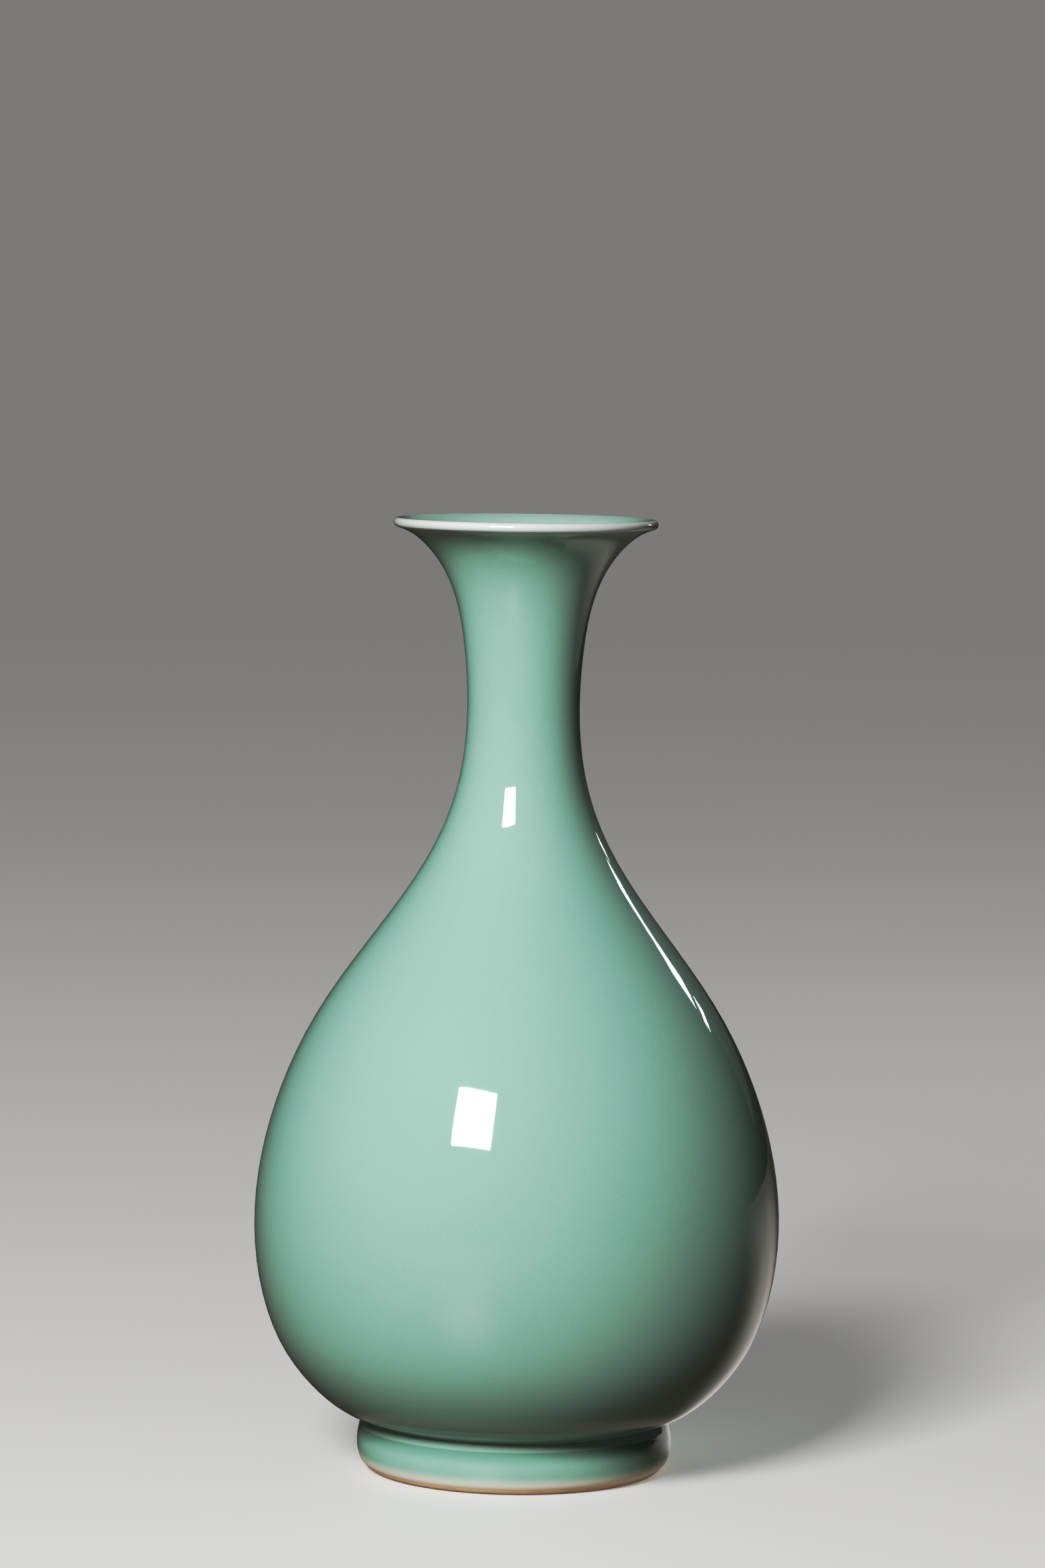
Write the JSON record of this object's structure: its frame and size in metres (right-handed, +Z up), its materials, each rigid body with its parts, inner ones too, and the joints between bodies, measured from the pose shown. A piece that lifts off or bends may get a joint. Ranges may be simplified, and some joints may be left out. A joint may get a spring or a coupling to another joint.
{
  "type": "vase",
  "caption": "Pear-shaped porcelain vase with a slim neck, flared mouth, rolled lip, round belly and ring foot, glazed celadon green.",
  "frame": {"origin": "centre of the foot ring's resting circle, on the plane that the vase stands on", "axes": "+Z up along the vase's axis, from the foot to the mouth; the vase is round, so +X and +Y are any two level directions"},
  "size_m": [0.1653, 0.1654, 0.3],
  "materials": {
    "porcelain": "fired porcelain body, dense and matt where it is bare",
    "slip": "fired slip, matt",
    "lip_glaze": "glossy white glaze",
    "celadon_glaze": "glossy blue-green celadon glaze with a fine grain",
    "celadon_glaze_inside": "glossy blue-green celadon glaze",
    "iron_wash": "matt tan-brown wash"
  },
  "bodies": {
    "root": {"neck_section": "porcelain", "shoulder_section": "porcelain", "belly_section": "porcelain", "foot_ring": "porcelain", "neck_luting_slip": "slip", "belly_luting_slip": "slip", "foot_luting_slip": "slip", "lip_glaze_band": "lip_glaze", "outer_glaze": "celadon_glaze", "inner_glaze": "celadon_glaze_inside", "base_glaze": "celadon_glaze_inside", "foot_wash": "iron_wash"}
  },
  "joints": []
}
